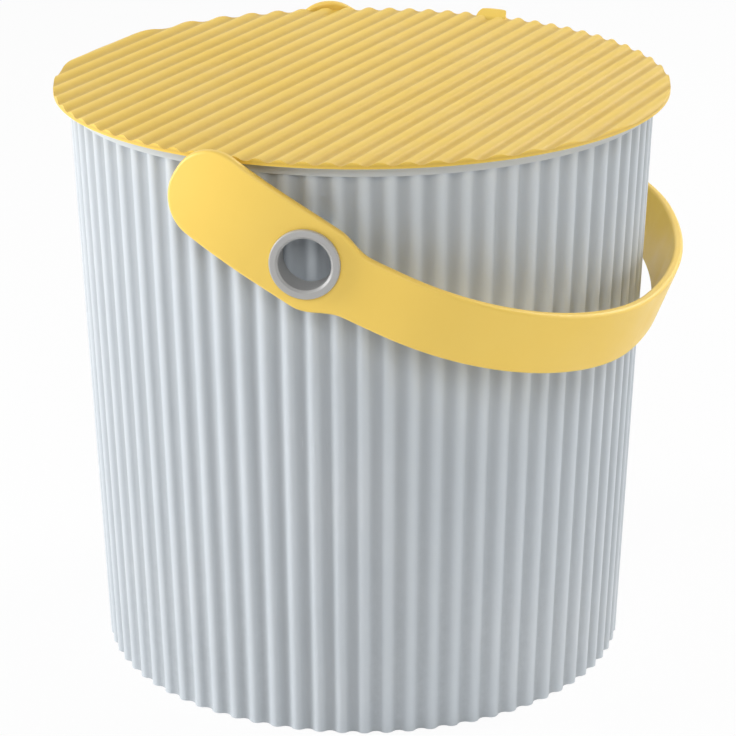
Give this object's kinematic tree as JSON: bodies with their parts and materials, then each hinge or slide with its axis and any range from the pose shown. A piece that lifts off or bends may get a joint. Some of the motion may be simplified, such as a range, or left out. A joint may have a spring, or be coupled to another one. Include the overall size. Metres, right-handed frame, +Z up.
{
  "type": "lidded bucket",
  "caption": "Ribbed tapered plastic bucket with a ribbed lift-off lid and a strap handle that swings on hollow pivot rings.",
  "frame": {"origin": "centre of the foot on the surface that the bucket stands on", "axes": "+Z up along the bucket's axis, Y along the handle's pivot axis, +X to the side that the handle hangs on"},
  "size_m": [0.2699, 0.2764, 0.2554],
  "materials": {
    "bucket_plastic": "fine satin, moulded",
    "lid_plastic": "fine satin, moulded",
    "handle_plastic": "smooth satin, moulded",
    "ring_plastic": "smooth satin, moulded"
  },
  "bodies": {
    "bucket_body": {"bucket": "bucket_plastic", "pivot_ring_front": "ring_plastic", "pivot_ring_back": "ring_plastic"},
    "handle_body": {"strap_handle": "handle_plastic"},
    "lid_body": {"lid": "lid_plastic"}
  },
  "joints": [
    {"name": "handle_swing", "type": "hinge", "parent": "bucket_body", "child": "handle_body", "pos_m": [0, 0, 0.2137], "axis": [0, -1, 0], "range_deg": [-4.3, 222.5]},
    {"name": "lid_lift", "type": "slide", "parent": "bucket_body", "child": "lid_body", "axis": [0, 0, 1], "range_m": [0, 0.12]}
  ]
}
